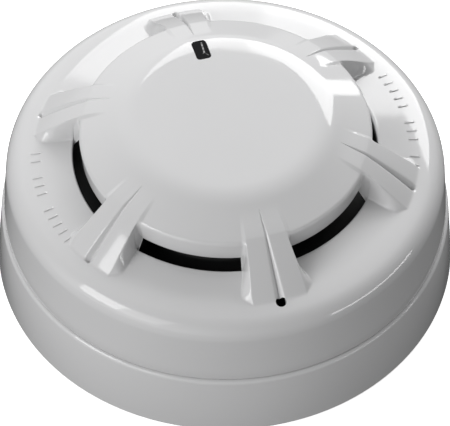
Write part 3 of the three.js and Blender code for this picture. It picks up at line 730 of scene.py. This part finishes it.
CAMERA_DISTANCE = 0.65
CAMERA_AZIMUTH, CAMERA_ELEVATION = -91.3, 52.241
CAMERA_ROLL = -0.42
CAMERA_AIM = Vector((0, 0, 0.010625))
CAMERA_LENS = 234.78

LIGHT_DISTANCE = 1.4  # the lights' azimuths are counted with the camera at -90 degrees, and turn with it
LIGHT_TURN = CAMERA_AZIMUTH + 90
PANELS = (  # name, azimuth, elevation, (width, height), watts, sideways shift
    ("back_panel_left", 78, 30.5, (0.349, 0.76), 3.04, 0.349),
    ("back_panel_middle", 78, 30.5, (0.349, 0.76), 5.01, 0.0),
    ("back_panel_right", 78, 30.5, (0.349, 0.76), 5.0, -0.349),
    ("front_panel_left", -137, 30.5, (0.469, 0.776), 6.02, -0.2345),
    ("front_panel_right", -137, 30.5, (0.469, 0.776), 1.75, 0.2345),
    ("low_strip", -22, 3, (1.13, 0.15), 3.27, 0.0),
)
ROOM_GLOWS = (  # azimuth, elevation, strength
    (-135, 5, 1.642), (90, 45, 0.908), (90, 5, 0.676), (-45, -30, 0.494), (45, 5, 0.215),
)
GLOW_FALL = 3
GLOW_BELOW = 0.35  # the glows' share left below the horizon
FLOOR_GLOW = 0.8
FLOOR_WHITE, FLOOR_ROUGHNESS = (0.9, 0.9, 0.9, 1), 0.9
FLOOR_HALF, FLOOR_Z = 6000, -0.2


def direction(azimuth, elevation):
    """A unit vector away from the detector; azimuth from +X and elevation above the mounting plane."""
    a, e = math.radians(azimuth), math.radians(elevation)
    return Vector((math.cos(a) * math.cos(e), math.sin(a) * math.cos(e), math.sin(e)))


def add_camera():
    data = bpy.data.cameras.new("camera")
    data.lens = CAMERA_LENS
    data.sensor_width = 36
    data.clip_start, data.clip_end = 0.01, 100
    camera = bpy.data.objects.new("camera", data)
    bpy.context.scene.collection.objects.link(camera)
    camera.location = CAMERA_DISTANCE * direction(CAMERA_AZIMUTH, CAMERA_ELEVATION)
    aim = (CAMERA_AIM - camera.location).to_track_quat("-Z", "Y")
    camera.rotation_mode = "QUATERNION"
    camera.rotation_quaternion = aim @ Quaternion((0, 0, 1), math.radians(-CAMERA_ROLL))
    bpy.context.scene.camera = camera


def add_panel(name, azimuth, elevation, size, power, across=0.0):
    """A soft rectangular light facing the detector, shifted sideways in its own plane."""
    data = bpy.data.lights.new(name, "AREA")
    data.shape = "RECTANGLE"
    data.size, data.size_y = size
    data.energy = power
    light = bpy.data.objects.new(name, data)
    bpy.context.scene.collection.objects.link(light)
    away = LIGHT_DISTANCE * direction(azimuth + LIGHT_TURN, elevation)
    facing = (-away).to_track_quat("-Z", "Y")
    light.location = away + facing @ Vector((across, 0, 0))
    light.rotation_mode = "QUATERNION"
    light.rotation_quaternion = facing


def add_room():
    """A dim room: broad soft glows from a few directions, with nothing sharp to reflect."""
    world = bpy.data.worlds.new("studio")
    world.use_nodes = True
    bpy.context.scene.world = world
    tree = world.node_tree
    look = tree.nodes.new("ShaderNodeTexCoord")
    total = 0.0
    for azimuth, elevation, strength in ROOM_GLOWS:
        towards = tree.nodes.new("ShaderNodeVectorMath")
        towards.operation = "DOT_PRODUCT"
        towards.inputs[1].default_value = direction(azimuth + LIGHT_TURN, elevation)
        tree.links.new(look.outputs["Generated"], towards.inputs[0])
        glow = calc(tree, "POWER", calc(tree, "MAXIMUM", towards.outputs["Value"], 0.0), GLOW_FALL)
        total = calc(tree, "MULTIPLY_ADD", glow, strength, total)
    height = tree.nodes.new("ShaderNodeSeparateXYZ")
    tree.links.new(look.outputs["Generated"], height.inputs[0])
    above = calc(tree, "GREATER_THAN", height.outputs["Z"], 0.0)
    total = calc(tree, "MULTIPLY", total, calc(tree, "MULTIPLY_ADD", above, 1 - GLOW_BELOW, GLOW_BELOW))
    background = tree.nodes["Background"]
    background.inputs["Color"].default_value = (1, 1, 1, 1)
    tree.links.new(total, background.inputs["Strength"])


def add_stage():
    """A plain bright floor that the camera sees and the detector doesn't."""
    corners = [(x * FLOOR_HALF, y * FLOOR_HALF, FLOOR_Z) for x, y in ((-1, -1), (1, -1), (1, 1), (-1, 1))]
    floor = new_object("floor", corners, [(0, 1, 2, 3)])
    material = bpy.data.materials.new("pale_floor")
    material.use_nodes = True
    shader = material.node_tree.nodes["Principled BSDF"]
    shader.inputs["Base Color"].default_value = FLOOR_WHITE
    shader.inputs["Roughness"].default_value = FLOOR_ROUGHNESS
    shader.inputs["Emission Color"].default_value = (1, 1, 1, 1)
    shader.inputs["Emission Strength"].default_value = FLOOR_GLOW
    floor.data.materials.append(material)
    floor.visible_diffuse = False
    floor.visible_glossy = False
    bpy.context.scene.view_settings.view_transform = "Standard"


add_camera()
add_stage()
add_room()
for panel in PANELS:
    add_panel(*panel)

build_cover()
build_ticks()
build_lens()
build_chamber()
build_base()

CAD_LOOKS = {
    "indicator_lens": (LENS, "lens_dark"),
    "chamber_cover": (BLACK, "chamber_black"),
    "gasket": (FOAM, "foam_grey"),
    "backplate": (BACK_WHITE, "back_white"),
    "circuit_board": (BOARD, "board_green"),
    "base_housing": (BASE_WHITE, "base_white"),
    "lock_tab": (BASE_WHITE, "base_white"),
    "indicator_lamp": (CLEAR, "lamp_clear"),
    "reed_switch": (CLEAR, "lamp_clear"),
    "microcontroller": (CHIP, "chip_black"),
    "bridge_rectifier": (CHIP, "chip_black"),
    "voltage_regulator": (CHIP, "chip_black"),
    "smoothing_capacitor": (SLEEVE, "capacitor_sleeve"),
    "surge_suppressor": (EPOXY, "epoxy_brown"),
    "thermistor_bead": (EPOXY, "epoxy_brown"),
    "reed_lead": (TIN, "tin"),
    "thermistor_lead": (TIN, "tin"),
    "board_screw": (NICKEL, "nickel"),
    "contact_blade": (NICKEL, "nickel"),
    "wire_clamp": (NICKEL, "nickel"),
    "terminal_screw": (NICKEL, "nickel"),
    "terminal_plate": (BRASS, "brass"),
    "contact_spring": (BRASS, "brass"),
}

for name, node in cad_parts.items():
    for start, (material, slot) in CAD_LOOKS.items():
        if name.startswith(start):
            node.data.materials.clear()
            node.data.materials.append(material)
